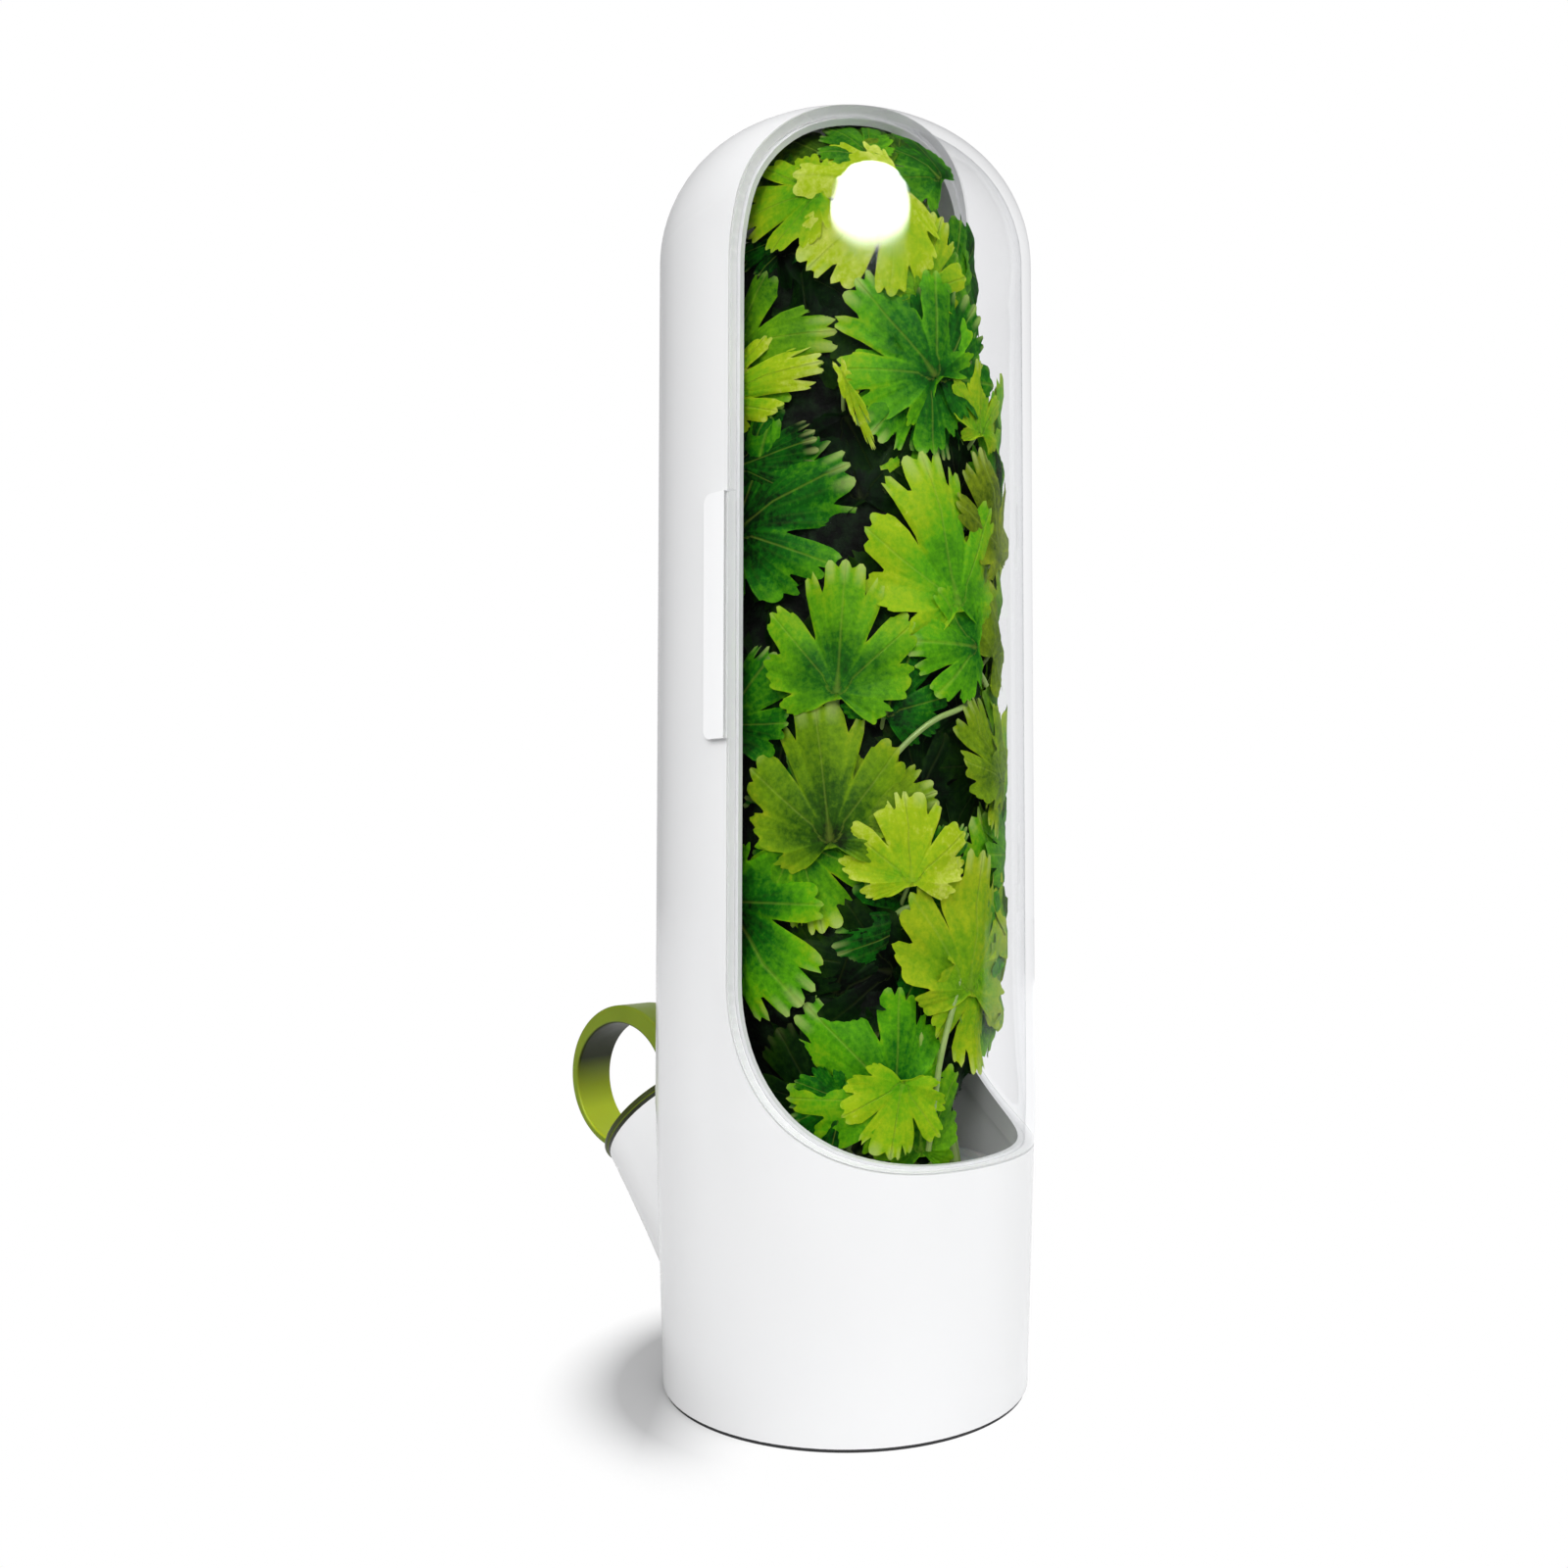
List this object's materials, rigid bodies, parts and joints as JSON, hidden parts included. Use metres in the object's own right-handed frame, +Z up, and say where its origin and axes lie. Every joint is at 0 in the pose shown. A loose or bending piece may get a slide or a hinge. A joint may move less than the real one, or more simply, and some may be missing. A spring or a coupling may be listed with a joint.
{
  "type": "herb keeper",
  "caption": "Upright domed fridge pod for fresh herbs with a clear half-shell door, a slanted water spout with a looped stopper, and a lift-out slotted basket.",
  "frame": {"origin": "centre of the foot pad's underside, on the resting plane", "axes": "+Z up, the clear door faces -Y, the spout leaves towards +Y, the door's hinge is on the +X side"},
  "size_m": [0.0899, 0.1251, 0.275],
  "materials": {
    "shell": "white moulded ABS, glossy",
    "clear": "clear moulded polystyrene, polished",
    "green": "olive green soft moulding, satin",
    "seal": "dark silicone, matt",
    "foot": "dark non-slip sheet, matt",
    "pin": "stainless wire, drawn",
    "insert": "frosted white polypropylene"
  },
  "bodies": {
    "pod": {"body_shell": "shell", "base_plate": "shell", "base_seal": "seal", "foot_pad": "foot", "hinge_pins": "pin"},
    "door": {"window_door": "clear"},
    "stopper": {"fill_cap": "green", "cap_seal": "seal"},
    "basket": {"herb_basket": "insert", "stem_grid": "insert"}
  },
  "joints": [
    {"name": "door_hinge", "type": "hinge", "parent": "pod", "child": "door", "pos_m": [0.0441, -0.0014, 0.1575], "axis": [0, 0, 1], "range_deg": [0, 130]},
    {"name": "cap_pull", "type": "slide", "parent": "pod", "child": "stopper", "axis": [0, 0.7314, 0.682], "range_m": [0, 0.025]},
    {"name": "basket_lift", "type": "slide", "parent": "pod", "child": "basket", "axis": [0, 0, 1], "range_m": [0, 0.05]}
  ]
}
